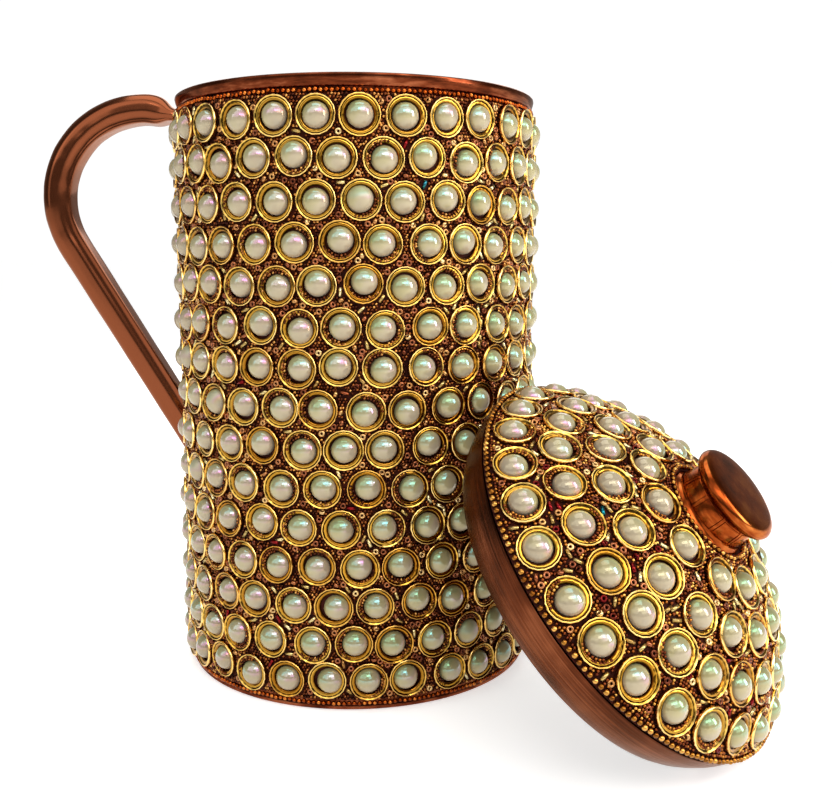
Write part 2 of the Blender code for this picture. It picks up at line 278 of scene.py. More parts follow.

# half pearls are cream plastic under a vacuum-coated rainbow film: a crisp mirror of the window that goes from
# cyan to pink across each dome; the body colour runs over olive, cream and rose across each dome, a painted
# sheen of the film, with random swirls; one in twenty has lost its film
pearlMaterial, tree, shader = newMaterial("rainbow coated half pearl", IOR=2.25, Coat_Weight=0.15,
                                          Coat_Roughness=0.03)
place = placeFrom(tree)
tone = toneFrom(tree)
axes = addNode(tree, "SeparateXYZ", {"Vector": place})
shift = addNode(tree, "Math", {0: tone, 1: 7.0}, operation="MULTIPLY")
sway = addNode(tree, "TexNoise", {"Vector": place, "W": shift.outputs[0], "Scale": 190, "Detail": 1,
                                  "Distortion": 0.5}, noise_dimensions="4D")                # 5 mm swirls
# painted sheen: the body colour slides from olive at the upper left of each dome to rose at the lower right,
# standing in for the film's colour as light falls on it; the swirls are random tone
slope = addNode(tree, "Math", {0: axes.outputs["X"], 1: axes.outputs["Y"]}, operation="SUBTRACT")
paintedSheenSlide = addNode(tree, "MapRange", {"Value": slope.outputs[0], "From Min": -6 * mm, "From Max": 6 * mm})
bent = addNode(tree, "Math", {0: sway.outputs[0], 1: paintedSheenSlide.outputs[0]}, operation="ADD")
halved = addNode(tree, "Math", {0: bent.outputs[0], 1: 0.5}, operation="MULTIPLY")
body = addNode(tree, "ValToRGB", {"Fac": halved.outputs[0]})
bodyColourWithPaintedSheen = setStops(body, [(0.24, "#8b8e66"), (0.36, "#a0966b"), (0.46, "#a99e78"), (0.56, "#a99c82"),
                             (0.68, "#a2937c"), (0.8, "#988d7e")])
film = addNode(tree, "ValToRGB", {"Fac": halved.outputs[0]})
filmColour = setStops(film, [(0.3, "#98e0b0"), (0.41, "#7cecfa"), (0.49, "#f2f8ff"), (0.57, "#f48cf0"),
                             (0.66, "#ffb08c"), (0.76, "#d0e880")])
polish = addNode(tree, "ValToRGB", {"Fac": tone})
tree.links.new(bodyColourWithPaintedSheen, shader.inputs["Base Color"])
upper = addNode(tree, "MapRange", {"Value": axes.outputs["Y"], "From Min": -0.4 * mm, "From Max": 0.9 * mm})
sheen = addNode(tree, "MixRGB", {"Fac": upper.outputs[0], "Color1": toLinear("#c0b898"),
                                 "Color2": filmColour})
tree.links.new(sheen.outputs[0], shader.inputs["Specular Tint"])
tree.links.new(setStops(polish, [(0.0, 0.06), (0.95, 0.1), (0.96, 0.5)]), shader.inputs["Roughness"])

# rings are stamped brass, gilt and polished; their colour across each ring holds painted light: painted shade
# where the ring meets the pearl and in the groove between their two rims, and a painted highlight along the
# outer rim
giltMaterial, tree, shader = newMaterial("gilt stamped brass", Metallic=1.0, Roughness=0.16)
place = placeFrom(tree)
tone = toneFrom(tree)
axes = addNode(tree, "SeparateXYZ", {"Vector": place})
flat = addNode(tree, "CombineXYZ", {"X": axes.outputs["X"], "Y": axes.outputs["Y"]})
reach = addNode(tree, "VectorMath", {0: flat.outputs[0]}, operation="LENGTH").outputs["Value"]
across = addNode(tree, "MapRange", {"Value": reach, "From Min": 4.1 * mm, "From Max": 6.1 * mm})
ramp = addNode(tree, "ValToRGB", {"Fac": across.outputs[0]})
# painted light across the ring: the dark opening stops are painted shade next to the pearl, the two darkest
# stops painted shade in the groove, the last stops a painted highlight on the outer rim
ringPaintedShadeAndHighlight = setStops(ramp, [(0.0, "#4a2408"), (0.12, "#8a5c1c"), (0.38, "#b08632"), (0.53, "#c49a40"),
                             (0.57, "#200e04"), (0.68, "#200e04"), (0.74, "#d8ac4c"), (0.95, "#fce098")])
shade = addNode(tree, "ValToRGB", {"Fac": tone})
toneColour = setStops(shade, [(0.0, "#e2c8a0"), (0.5, "#ffffff"), (1.0, "#fff2d0")])
gilt = addNode(tree, "MixRGB", {"Fac": 1.0, "Color1": ringPaintedShadeAndHighlight, "Color2": toneColour},
               blend_type="MULTIPLY")
tree.links.new(gilt.outputs[0], shader.inputs["Base Color"])

# ball chain is copper plated, a hot orange where it catches light
chainMaterial = beadMaterial("copper plated ball chain",
                             [(0.0, "#702c08"), (0.6, "#a84c16"), (1.0, "#d07c34")],
                             0.24, 1.0)
goldBallMaterial = beadMaterial("bronze plated beads", [(0.0, "#6a3c12"), (0.6, "#a06c2a"), (1.0, "#d09c50")],
                                0.24, 1.0)
# filler balls are tiny metallic glass, maroon to bronze; the lid's balls are the same glass with painted light,
# their colours made brighter because the lid stands more in the light
fillerMaterial = beadMaterial("dark metallic glass balls", [(0.0, "#2e1008"), (0.5, "#643014"), (0.8, "#925628"),
                                                            (1.0, "#c89450")], 0.22, 0.9)
lidFillerPaintedLighter = beadMaterial("dark metallic glass balls painted lighter", [(0.0, "#46180c"), (0.5, "#7a3c18"),
                                                                 (0.8, "#a86c2a"), (1.0, "#dcae58")], 0.24, 0.9)
# seed beads are foil-lined glass, copper to pale gold, and now and then dark red
seedMaterial = beadMaterial("foil lined seed beads", [(0.0, "#5a0c0c"), (0.04, "#5a0c0c"), (0.06, "#5a2a18"),
                                                      (0.5, "#945838"), (0.8, "#b48650"), (1.0, "#dcc088")],
                            0.2, 0.9)
# bugles are cut glass tube with a metallic coat: pale gold, with a few dark red and teal ones
bugleMaterial = beadMaterial("coated glass bugles", [(0.0, "#0e6a78"), (0.01, "#0e6a78"), (0.02, "#6e0c10"),
                                                     (0.12, "#7a1014"), (0.14, "#94743e"), (0.6, "#bca668"),
                                                     (1.0, "#e6d8a8")], 0.22, 0.85)


print("jug body")
# mm: radii of the lip, the wall's outside, the foot and the lac; heights of the base and the lac's edges
jug = {"height": 190, "lip": 60, "wall": 57.5, "sheet": 1.2, "foot": 59, "base": 1.25, "lac": 59.2,
       "lacFoot": 3.35, "lacTop": 184.2, "sides": 144}
lip, top, outside, inside = jug["lip"], jug["height"], jug["wall"], jug["wall"] - jug["sheet"]
wallProfile = [(lip - 1.3, top), (lip - 0.8, top + 0.02), (lip - 0.4, top - 0.12), (lip - 0.1, top - 0.4),
               (lip, top - 0.9), (lip - 0.25, top - 2.0), (lip - 0.6, top - 3.0), (lip - 0.8, top - 3.5),
               (lip - 1.1, top - 3.75), (outside, top - 3.8), (outside, jug["base"] + 0.3),
               (inside, jug["base"] + 0.3), (inside, top - 8), (inside + 0.15, top - 5.5),
               (inside + 0.9, top - 2.8), (inside + 1.8, top - 0.9), (lip - 1.6, top - 0.2)]
wall = keepMadePlace(turnOnLathe("copper_wall", wallProfile, sides=jug["sides"], closed=True))
finishPiece(wall, wallCopper, "jug", ["jug_wall"])
wall.data.materials.append(insideCopper)
for face in wall.data.polygons:
    if math.hypot(face.center.x, face.center.y) < (inside + 0.3) * mm:
        face.material_index = 1

foot, base = jug["foot"], jug["base"]
panProfile = [(0, base), (40, base), (foot - 0.5, base), (foot - 0.1, 1.1), (foot, 0.8), (foot, 0.3),
              (foot - 0.15, 0.08), (foot - 0.5, 0), (54.2, 0), (53.8, 0.2), (53.5, 0.5), (30, 0.5), (0, 0.5)]
pan = keepMadePlace(turnOnLathe("copper_base", panProfile, sides=jug["sides"]))
finishPiece(pan, panCopper, "jug", ["base_pan"])
pan.data.materials.append(insideCopper)
for face in pan.data.polygons:
    if face.normal.z > 0.9:
        face.material_index = 1

lacRadius, lacTop, lacFoot = jug["lac"], jug["lacTop"], jug["lacFoot"]
lacProfile = [(lacRadius - 0.05, lacTop), (lacRadius + 0.05, lacTop - 0.3), (lacRadius, 120), (lacRadius, 60),
              (lacRadius + 0.05, lacFoot + 0.3), (lacRadius - 0.1, lacFoot), (outside + 0.05, lacFoot),
              (outside + 0.05, lacTop)]
lac = keepMadePlace(turnOnLathe("lac_coat", lacProfile, sides=jug["sides"], closed=True))
finishPiece(lac, lacMaterial, "jug", ["lac_sleeve"])


print("handle")
handle = {"depth": 5.3, "arcOut": 70.25, "arcHeight": 157.2, "arcRadius": 30, "tilt": 30.3, "run": 91,
          "runSteps": 13, "arcSteps": 48, "sides": 32, "dents": 0.35, "dentWidth": 9, "cutRadius": 57.7,
          # strips along the tube, from and to in depth, and how much wider each is made
          "bands": [(-1.6, 0.4, 0.975), (0.9, 1.6, 1.03), (2.2, 3.4, 1.06), (3.4, 4.2, 1.24), (4.2, 5.0, 1.75),
                    (5.0, 5.25, 2.2)],
          # the pinched end: out, height, and its depth and breadth next to the tube's
          "tongue": [(68.0, 187.0, 1.0, 1.0), (66.0, 186.5, 0.96, 1.02), (64.2, 186.1, 0.8, 1.06),
                     (62.7, 185.7, 0.58, 1.14), (61.2, 185.3, 0.45, 1.2), (57.0, 184.4, 0.4, 1.22)]}
startAngle = -math.radians(handle["tilt"])
runOut = handle["arcOut"] + handle["arcRadius"] * math.cos(startAngle)
runHeight = handle["arcHeight"] + handle["arcRadius"] * math.sin(startAngle)
runHeading = startAngle + math.pi / 2
path = []
for step in range(handle["runSteps"]):
    back = handle["run"] * (1 - step / handle["runSteps"])
    path.append((runOut - back * math.cos(runHeading), runHeight - back * math.sin(runHeading)))
for step in range(handle["arcSteps"] + 1):
    angle = startAngle + (math.pi / 2 - startAngle) * step / handle["arcSteps"]
    path.append((handle["arcOut"] + handle["arcRadius"] * math.cos(angle),
                 handle["arcHeight"] + handle["arcRadius"] * math.sin(angle)))
path += [(out, height) for out, height, depth, breadth in handle["tongue"]]
lengths = [0.0]
for (outA, heightA), (outB, heightB) in zip(path, path[1:]):
    lengths.append(lengths[-1] + math.hypot(outB - outA, heightB - heightA))

# the tube is first drawn straight along X, its outer side down, with the pinched tongue at the far end
deselectAll()
bpy.ops.mesh.primitive_circle_add(vertices=handle["sides"], radius=handle["depth"] * mm, fill_type="NGON",
                                  rotation=(0, math.pi / 2, 0))
tube = bpy.context.object
tube.name = tube.data.name = "copper_handle"
bpy.ops.object.transform_apply(location=False, rotation=True, scale=False)
# each side has a ridge, a shallow hollow outside it and a dished flank inside it; the inner face is flat
for low, high, grow in handle["bands"]:
    pickPoints(tube, lambda co: low * mm < co.z < high * mm)
    bpy.ops.transform.resize(value=(1, grow, 1), center_override=(0, 0, 0))
pickPoints(tube, lambda co: co.z > 4.2 * mm)
bpy.ops.transform.resize(value=(1, 1, 0.1), center_override=(0, 0, 4.7 * mm))
bpy.ops.mesh.select_all(action="SELECT")
place, depthNow, breadthNow = 0.0, 1.0, 1.0
stations = [(length, 1.0, 1.0) for length in lengths[1:-len(handle["tongue"]):2]]
stations += [(length, depth, breadth) for length, (out, height, depth, breadth)
             in zip(lengths[-len(handle["tongue"]):], handle["tongue"])]
for length, depth, breadth in stations:
    bpy.ops.mesh.extrude_region_move(TRANSFORM_OT_translate={"value": ((length - place) * mm, 0, 0)})
    bpy.ops.transform.resize(value=(1, breadth / breadthNow, depth / depthNow),
                             center_override=(length * mm, 0, 0))
    place, depthNow, breadthNow = length, depth, breadth
bpy.ops.mesh.select_all(action="SELECT")
bpy.ops.mesh.normals_make_consistent(inside=False)
bpy.ops.object.mode_set(mode="OBJECT")
keepMadePlace(tube)

bpy.ops.curve.primitive_bezier_curve_add()
guide = bpy.context.object
guide.data.splines.clear()
spline = guide.data.splines.new("POLY")
spline.points.add(len(path) - 1)
for point, (out, height) in zip(spline.points, path):
    point.co = (-out * mm, 0, height * mm, 1)
guide.data.twist_mode = "MINIMUM"
deselectAll()
bpy.context.view_layer.objects.active = tube
bend = tube.modifiers.new("bend", "CURVE")
bend.object = guide
bpy.ops.object.modifier_apply(modifier="bend")
smooth = tube.modifiers.new("round", "SUBSURF")
smooth.levels = smooth.render_levels = 1
bpy.ops.object.modifier_apply(modifier="round")
# the small dents of a tube bent by hand
clouds = bpy.data.textures.new("dents", "CLOUDS")
clouds.noise_scale = handle["dentWidth"] * mm
dents = tube.modifiers.new("dents", "DISPLACE")
dents.texture = clouds
dents.texture_coords = "GLOBAL"
dents.strength = handle["dents"] * mm
bpy.ops.object.modifier_apply(modifier="dents")
# the ends are cut to the round of the wall
bpy.ops.mesh.primitive_cylinder_add(vertices=96, radius=handle["cutRadius"] * mm, depth=0.2,
                                    location=(0, 0, 0.1))
cutter = bpy.context.object
deselectAll()
bpy.context.view_layer.objects.active = tube
fit = tube.modifiers.new("fit", "BOOLEAN")
fit.operation = "DIFFERENCE"
fit.object = cutter
bpy.ops.object.modifier_apply(modifier="fit")
bpy.data.objects.remove(cutter)
bpy.data.objects.remove(guide)
tube.select_set(True)
bpy.ops.object.shade_smooth_by_angle(angle=math.radians(50))
finishPiece(tube, handleCopper, "jug", ["handle"])


print("pearl, ring and bead templates")
# lean is in radians and the rest in mm; no bead's middle lies nearer to a ring's middle than beadsFrom
setting = {"pearlRadius": 3.95, "pearlHeight": 3.35, "pearlSteps": 5, "ringRadius": 6.05, "ringOpening": 4.1,
           "sides": 18, "sunk": 0.3, "lean": 0.035, "pearlLean": 0.6, "offset": 0.4, "mostOffset": 0.75,
           "ringRise": (-0.1, 0.25), "ringSize": (0.965, 1.025), "beadsFrom": 6.0}
bead = {"filler": 0.53, "chain": 0.7, "seed": 0.68, "seedWire": 0.4, "bugle": 0.55, "bugleLength": 2.5}

quarters = [math.pi / 2 * (1 - i / setting["pearlSteps"]) for i in range(setting["pearlSteps"] + 1)]
pearlProfile = [(setting["pearlRadius"] * math.cos(turn), setting["pearlHeight"] * math.sin(turn))
                for turn in quarters]
pearlProfile += [(setting["pearlRadius"], -setting["sunk"]), (0, -setting["sunk"])]
pearlTemplate = turnOnLathe("pearlTemplate", pearlProfile, sides=setting["sides"])

outer, opening = setting["ringRadius"], setting["ringOpening"]
ringProfile = [(outer - 0.05, -setting["sunk"]), (outer, 1.05), (outer - 0.16, 1.35), (outer - 0.36, 1.35),
               (outer - 0.56, 0.75), (outer - 0.74, 0.8), (outer - 0.9, 1.1), (opening + 0.1, 0.5),
               (opening, -0.1)]
ringTemplate = turnOnLathe("ringTemplate", ringProfile, sides=setting["sides"], closed=True)

deselectAll()
bpy.ops.mesh.primitive_ico_sphere_add(subdivisions=1, radius=bead["filler"] * mm)
fillerTemplate = bpy.context.object

bpy.ops.mesh.primitive_uv_sphere_add(segments=10, ring_count=6, radius=bead["chain"] * mm)
chainTemplate = bpy.context.object

# a seed bead is a fat ring of glass
bpy.ops.mesh.primitive_torus_add(major_segments=12, minor_segments=6, major_radius=bead["seed"] * mm,
                                 minor_radius=bead["seedWire"] * mm)
seedTemplate = bpy.context.object
bpy.ops.object.mode_set(mode="EDIT")
bpy.ops.mesh.select_all(action="SELECT")
bpy.ops.transform.resize(value=(1, 1, 1.5), center_override=(0, 0, 0))
bpy.ops.object.mode_set(mode="OBJECT")

# a bugle is a short straight tube, open at both ends
deselectAll()
bpy.ops.mesh.primitive_cylinder_add(vertices=8, radius=bead["bugle"] * mm, depth=bead["bugleLength"] * mm,
                                    rotation=(0, math.pi / 2, 0))
bugleTemplate = bpy.context.object
bpy.ops.object.transform_apply(location=False, rotation=True, scale=False)
pickFaces(bugleTemplate, lambda centre, normal: abs(normal.x) > 0.9)
bpy.ops.mesh.inset(thickness=0.2 * mm, use_individual=True)
bpy.ops.mesh.extrude_faces_move(TRANSFORM_OT_shrink_fatten={"value": -0.9 * mm})
bpy.ops.object.mode_set(mode="OBJECT")


def jugSpot(angle, height, rise=0.0, turn=0.0, tiltX=0.0, tiltY=0.0, scale=1.0):
    # X runs round the jug, Y up and Z outwards
    radius = lacRadius + rise
    axes = Matrix(((-math.sin(angle), 0, math.cos(angle)), (math.cos(angle), 0, math.sin(angle)), (0, 1, 0)))
    spin = Euler((tiltX, tiltY, turn)).to_matrix()
    spot = (axes @ spin * scale).to_4x4()
    spot.translation = Vector((radius * math.cos(angle), radius * math.sin(angle), height)) * mm
    return spot


def lidSpot(heading, polar, rise=0.0, turn=0.0, tiltX=0.0, tiltY=0.0, scale=1.0):
    # X runs round the lid, Y towards the knob and Z outwards
    up = Vector((math.sin(polar) * math.cos(heading), math.sin(polar) * math.sin(heading), math.cos(polar)))
    around = Vector((-math.sin(heading), math.cos(heading), 0))
    axes = Matrix((around, up.cross(around), up)).transposed()
    spin = Euler((tiltX, tiltY, turn)).to_matrix()
    spot = (axes @ spin * scale).to_4x4()
    spot.translation = (up * (lid["domeRadius"] + rise) + Vector((0, 0, domeCentre))) * mm
    return spot


def makeSettings(spotMaker, places):
    # each setting: its ring's spot, its pearl's spot a little off centre in it, and how far off
    settings = []
    for first, second in places:
        tiltX, tiltY = dice.gauss(0, setting["lean"]), dice.gauss(0, setting["lean"])
        ring = spotMaker(first, second, 0.1 + dice.uniform(*setting["ringRise"]), dice.uniform(0, fullTurn),
                         tiltX, tiltY, dice.uniform(*setting["ringSize"]))
        offset = Vector((dice.gauss(0, setting["offset"]), dice.gauss(0, setting["offset"]), 0))
        if offset.length > setting["mostOffset"]:
            offset *= setting["mostOffset"] / offset.length
        pearl = spotMaker(first, second, tiltX=setting["pearlLean"] * tiltX,
                          tiltY=setting["pearlLean"] * tiltY)
        pearl.translation += pearl.to_3x3() @ offset * mm
        settings.append({"ring": ring, "pearl": pearl, "offset": offset, "level": spotMaker(first, second)})
    return settings


rows = {"count": 15, "inPiece": 3, "around": 29, "topHeight": 178.4, "pitch": 12.08, "slip": 0.35,
        "turns": (0.1, 0.6, 0.1, 0.6, 0.1, 0.65, 0.6, 0.15, 0.65, 0.15, 0.6, 0.0, 0.4, 0.8, 0.2)}
# the settings and the beads make way for the handle's foot; angle is in radians and the rest in mm
handleFoot = {"angle": math.pi, "low": 61, "high": 100, "skip": 8, "reach": 11.2, "beadReach": 6,
              "beadLow": 64.5, "beadHigh": 96.5, "chainReach": 6.8}


def asideOfHandle(angle):
    # how far round the jug, in mm, an angle is from the middle of the handle
    return ((angle - handleFoot["angle"] + math.pi) % fullTurn - math.pi) * lacRadius


def rowPlaces(row):
    places = []
    for i in range(rows["around"]):
        angle = fullTurn * (i + rows["turns"][row]) / rows["around"] - math.pi / 2
        angle += dice.gauss(0, rows["slip"]) / lacRadius
        height = rows["topHeight"] - row * rows["pitch"] + dice.gauss(0, rows["slip"])
        aside = asideOfHandle(angle)
        if handleFoot["low"] < height < handleFoot["high"] and abs(aside) < handleFoot["reach"]:
            if abs(aside) < handleFoot["skip"]:
                continue
            angle = handleFoot["angle"] + math.copysign(handleFoot["reach"], aside) / lacRadius
        places.append((angle, height))
    return places


print("settings on the jug")
jugSettings = []
for first in range(0, rows["count"], rows["inPiece"]):
    group = []
    these = range(first, first + rows["inPiece"])
    for row in these:
        group += makeSettings(jugSpot, rowPlaces(row))
    nodes = [f"pearl_row_{row + 1:02d}" for row in these]
    label = f"rows_{these[0] + 1:02d}_{these[-1] + 1:02d}"
    pearls = copyTo("half_pearls_" + label, pearlTemplate, [s["pearl"] for s in group],
                    randomTones(group))
    finishPiece(pearls, pearlMaterial, "jug", nodes)
    rings = copyTo("gilt_rings_" + label, ringTemplate, [s["ring"] for s in group],
                   randomTones(group))
    finishPiece(rings, giltMaterial, "jug", nodes)
    jugSettings += group


# two arcs of balls beside a pearl, and how much shorter the inner one is; spread is in radians
crescent = {"leastOffset": 0.2, "spread": (0.7, 1.5), "outer": 4.85, "inner": 4.05, "innerPart": 0.6,
            "spacing": 0.92, "rise": 1.0, "size": 0.95}


def crescentBalls(settings, share):
    # tiny balls lie in the wider side of the gap between a pearl and its ring
    spots = []
    for s in settings:
        if s["offset"].length < crescent["leastOffset"] or dice.random() > share:
            continue
        wide = math.atan2(-s["offset"].y, -s["offset"].x)
        spread = dice.uniform(*crescent["spread"])
        for radius, reach in ((crescent["outer"], spread),
                              (crescent["inner"], spread * crescent["innerPart"])):
            steps = int(reach * 2 * radius / crescent["spacing"])
            for i in range(steps + 1):
                angle = wide - reach + 2 * reach * i / max(steps, 1) + dice.gauss(0, 0.02)
                place = Vector((radius * math.cos(angle), radius * math.sin(angle), crescent["rise"]))
                spot = s["level"].copy()
                spot.translation += s["level"].to_3x3() @ place * mm
                spots.append(spot @ Matrix.Scale(crescent["size"], 4))
    return spots


def treeOf(spots):
    tree = KDTree(len(spots))
    for i, spot in enumerate(spots):
        tree.insert(spot.translation, i)
    tree.balance()
    return tree


# mm: how far the beads keep from the rings and from each other
clearance = {"bugle": 0.7, "seed": 0.75, "bugleEnd": 0.35, "filler": 0.25, "fillerToBead": 1.0,
             "bugleToBead": 1.9, "seedToBead": 1.75, "cell": 2.0}
# bugles lie nearly flat, and some seed beads stand on their side; turns are in radians
posture = {"bugleTilt": 0.12, "bugleHalf": 1.3, "bugleKeep": 0.9, "onSide": 0.35, "sideTurn": (0.5, 1.5)}


def strewBeads(candidates, settings, wanted):
    # the larger beads go first, into the gaps between the rings: (spot, is a bugle)
    ringTree = treeOf([s["level"] for s in settings])
    chosen = []
    cells = {}
    for spot in candidates:
        bugle = dice.random() < wanted["bugles"]
        middle = spot.translation
        ringGap = ringTree.find(middle)[2] / mm - setting["beadsFrom"]
        if ringGap < clearance["bugle" if bugle else "seed"]:
            continue
        turn = Matrix.Rotation(dice.uniform(0, fullTurn), 4, "Z")
        if bugle:
            turn = turn @ Matrix.Rotation(dice.gauss(0, posture["bugleTilt"]), 4, "Y")
            half = posture["bugleHalf"] * mm
            ends = [(spot @ turn) @ Vector((end, 0, 0)) for end in (-half, half)]
            if min(ringTree.find(end)[2] for end in ends) / mm < setting["beadsFrom"] + clearance["bugleEnd"]:
                continue
        elif dice.random() < posture["onSide"]:
            turn = turn @ Matrix.Rotation(dice.uniform(*posture["sideTurn"]), 4, "X")
        cell = tuple(int(c // (clearance["cell"] * mm)) for c in middle)
        reach = range(-1, 2)
        near = [p for i in reach for j in reach for k in reach
                for p in cells.get((cell[0] + i, cell[1] + j, cell[2] + k), ())]
        gap = clearance["bugleToBead" if bugle else "seedToBead"]
        if any((p - middle).length < gap * mm for p in near):
            continue
        cells.setdefault(cell, []).append(middle.copy())
        chosen.append((spot @ turn, bugle))
        if len(chosen) >= wanted["beads"]:
            break
    return chosen


def fillWithBalls(candidates, settings, beads):
    # tiny balls cover whatever lac still shows
    ringTree = treeOf([s["level"] for s in settings])
    keepOut = []
    for spot, bugle in beads:
        steps = (-posture["bugleKeep"], 0, posture["bugleKeep"]) if bugle else (0,)
        keepOut += [Matrix.Translation(spot @ Vector((step * mm, 0, 0))) for step in steps]
    beadTree = treeOf(keepOut)
    return [spot for spot in candidates
            if ringTree.find(spot.translation)[2] / mm > setting["beadsFrom"] + clearance["filler"]
            and beadTree.find(spot.translation)[2] / mm > clearance["fillerToBead"]]


def awayFromHandle(angle, height):
    return not (abs(asideOfHandle(angle)) < handleFoot["beadReach"]
                and handleFoot["beadLow"] < height < handleFoot["beadHigh"])


print("beads between the settings")
# spacing in mm; rowGap is the gap of rows in the spacing, stray how far a ball strays, bugles their share
fill = {"spacing": 1.0, "low": 3.9, "high": 184.0, "beads": 2000, "tries": 40000, "bugles": 0.4,
        "crescents": 0.75, "third": 63.5}
laying = {"rowGap": 0.87, "stray": 0.16, "beadRise": 0.45, "rise": 0.36, "riseSpan": (-0.1, 0.2),
          "size": (0.88, 1.1)}


def stray():
    return dice.uniform(-laying["stray"], laying["stray"])


jugCandidates = []
for i in range(fill["tries"]):
    angle, height = dice.uniform(0, fullTurn), dice.uniform(fill["low"] + 1.2, fill["high"] - 1)
    if awayFromHandle(angle, height):
        jugCandidates.append(jugSpot(angle, height, laying["beadRise"]))
jugBeads = strewBeads(jugCandidates, jugSettings, fill)

ballSpots = []
rowsOfBalls = int((fill["high"] - fill["low"]) / (fill["spacing"] * laying["rowGap"]))
perRow = int(fullTurn * lacRadius / fill["spacing"])
for i in range(rowsOfBalls + 1):
    for j in range(perRow):
        height = fill["low"] + i * fill["spacing"] * laying["rowGap"] + stray()
        angle = fullTurn * (j + 0.5 * (i % 2) + stray()) / perRow
        if awayFromHandle(angle, height):
            ballSpots.append(jugSpot(angle, height, laying["rise"] + dice.uniform(*laying["riseSpan"]),
                                     scale=dice.uniform(*laying["size"])))
ballSpots = fillWithBalls(ballSpots, jugSettings, jugBeads) + crescentBalls(jugSettings, fill["crescents"])
thirds = [[], [], []]
for spot in ballSpots:
    thirds[min(2, int((jug["height"] - spot.translation.z / mm) / fill["third"]))].append(spot)
for label, spots in zip(("upper", "middle", "lower"), thirds):
    balls = copyTo("filler_balls_" + label, fillerTemplate, spots, randomTones(spots))
    finishPiece(balls, fillerMaterial, "jug")
seeds = [spot for spot, bugle in jugBeads if not bugle]
bugles = [spot for spot, bugle in jugBeads if bugle]
finishPiece(copyTo("seed_beads", seedTemplate, seeds, [dice.uniform(0.05, 1) for s in seeds]), seedMaterial,
            "jug")
finishPiece(copyTo("bugle_beads", bugleTemplate, bugles, randomTones(bugles)), bugleMaterial, "jug")
print("  balls", len(ballSpots), "seed beads", len(seeds), "bugles", len(bugles))

# a ball chain under the lip, open at the handle, and another above the base
chains = {"pitch": 1.58, "wobble": 0.05,
          "ball_chain_upper": {"node": "upper_ball_strand", "height": 185.25, "radius": 59.3, "slack": 0.12,
                               "open": handleFoot["chainReach"]},
          "ball_chain_lower": {"node": "lower_ball_strand", "height": 2.3, "radius": 59.25, "slack": 0.1,
                               "open": 0}}
for name in ("ball_chain_upper", "ball_chain_lower"):
    chain = chains[name]
    count = int(fullTurn * chain["radius"] / chains["pitch"])
    spots = []
    for i in range(count):
        angle = fullTurn * i / count
        if abs(asideOfHandle(angle)) < chain["open"]:
            continue
        spots.append(jugSpot(angle, chain["height"] + dice.gauss(0, chain["slack"]),
                             chain["radius"] - lacRadius + dice.gauss(0, chains["wobble"])))
    finishPiece(copyTo(name, chainTemplate, spots, randomTones(spots)), chainMaterial, "jug",
                [chain["node"]])


def domeArc(reach, first, last, steps):
    return [(radius, domeCentre + math.sqrt(reach ** 2 - radius ** 2))
            for radius in (first + (last - first) * i / steps for i in range(steps + 1))]


print("lid")
skirtOuter = [(59.9, 12.4), (59.95, 12.1), (59.9, 11.8), (59.7, 10.2), (59.4, 8.6), (58.9, 6.9), (58.3, 5.2),
              (57.6, 3.6), (56.9, 2.1), (56.2, 1.1), (55.75, 0.4), (55.6, 0.15), (55.4, 0), (54.7, 0),
              (54.55, 0.15)]
skirtInner = [(55.8, 2.5), (57.2, 5.5), (58.3, 8.8), (58.7, 11.2)]
# radii in mm of the dome's surfaces, and of the holes for the rivet and the knob
dome = {"copper": 76, "sheet": 1, "steps": 12, "sides": 144, "rivetHole": 1.9, "copperEdge": 57.9,
        "lacSheet": 1.5, "knobHole": 13.4, "lacSteps": 14}
outer, inner = dome["copper"], dome["copper"] - dome["sheet"]
shellProfile = (domeArc(outer, dome["rivetHole"], dome["copperEdge"], dome["steps"]) + skirtOuter + skirtInner
                + domeArc(inner, dome["copperEdge"] - 0.8, dome["rivetHole"], dome["steps"]))
shell = keepMadePlace(turnOnLathe("lid_copper", shellProfile, sides=dome["sides"], closed=True))
finishPiece(shell, skirtCopper, "lid", ["lid_dome", "lid_skirt"], leaned=True)

outer, inner = lid["domeRadius"], lid["domeRadius"] - dome["lacSheet"]
lidLacProfile = (domeArc(outer, dome["knobHole"], lid["edge"], dome["lacSteps"])
                 + domeArc(inner, lid["edge"] - 1.9, dome["knobHole"], dome["lacSteps"]))
lidLac = keepMadePlace(turnOnLathe("lid_lac_coat", lidLacProfile, sides=dome["sides"], closed=True))
finishPiece(lidLac, lacMaterial, "lid", ["lid_lac_layer"], leaned=True)

# degrees from the knob, and round it; slips in radians
lidRings = {"counts": (26, 22, 16, 11), "polar": (44.3, 35.15, 26.0, 16.85), "turn": (268, 268, 281, 280),
            "slipRound": 0.006, "slipDown": 0.004}
lidSettings = []
for ring, count in enumerate(lidRings["counts"]):
    turn, polar = math.radians(lidRings["turn"][ring]), math.radians(lidRings["polar"][ring])
    places = [(turn + fullTurn * i / count + dice.gauss(0, lidRings["slipRound"]),
               polar + dice.gauss(0, lidRings["slipDown"])) for i in range(count)]
    group = makeSettings(lidSpot, places)
    node = f"lid_pearl_ring_{ring + 1}"
    pearls = copyTo(f"lid_half_pearls_{ring + 1}", pearlTemplate, [s["pearl"] for s in group],
                    [dice.uniform(0, 0.95) for s in group])
    finishPiece(pearls, pearlMaterial, "lid", [node], leaned=True)
    rings = copyTo(f"lid_gilt_rings_{ring + 1}", ringTemplate, [s["ring"] for s in group],
                   randomTones(group))
    finishPiece(rings, giltMaterial, "lid", [node], leaned=True)
    lidSettings += group

